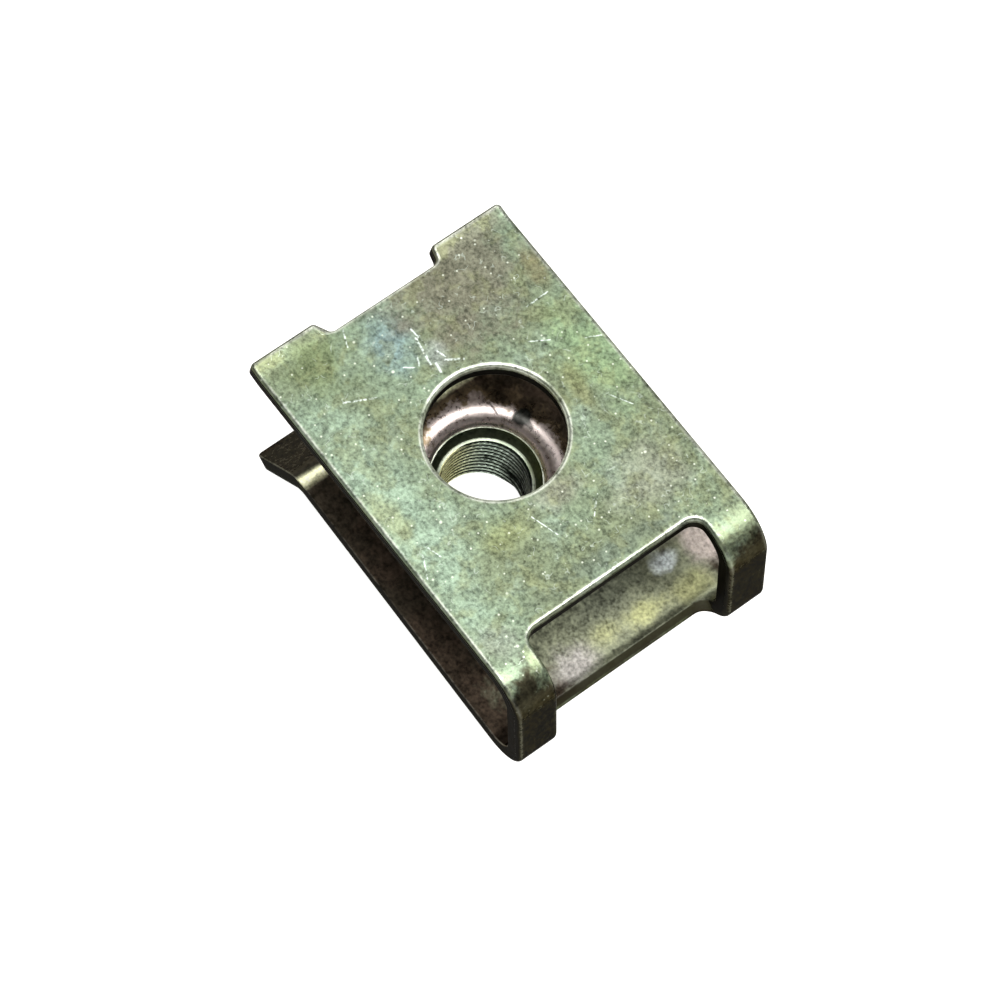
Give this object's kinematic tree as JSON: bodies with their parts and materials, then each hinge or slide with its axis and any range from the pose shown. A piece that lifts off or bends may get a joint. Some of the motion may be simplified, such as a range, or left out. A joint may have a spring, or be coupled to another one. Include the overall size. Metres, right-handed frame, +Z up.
{
  "type": "u clip speed nut",
  "caption": "Folded spring-steel U-clip nut: clearance hole in the top leaf, threaded drawn barrel in the lower leaf, window through the bend.",
  "frame": {"origin": "centre of the threaded barrel's free end, on the plane it rests on", "axes": "+Z up the thread axis through both leaves, +X towards the folded bend, Y across the sheet's width"},
  "size_m": [0.0249, 0.0166, 0.0147],
  "materials": {
    "chromate_steel": "satin yellow-green zinc chromate over sheet steel"
  },
  "bodies": {
    "root": {"clip_nut": "chromate_steel"}
  },
  "joints": []
}
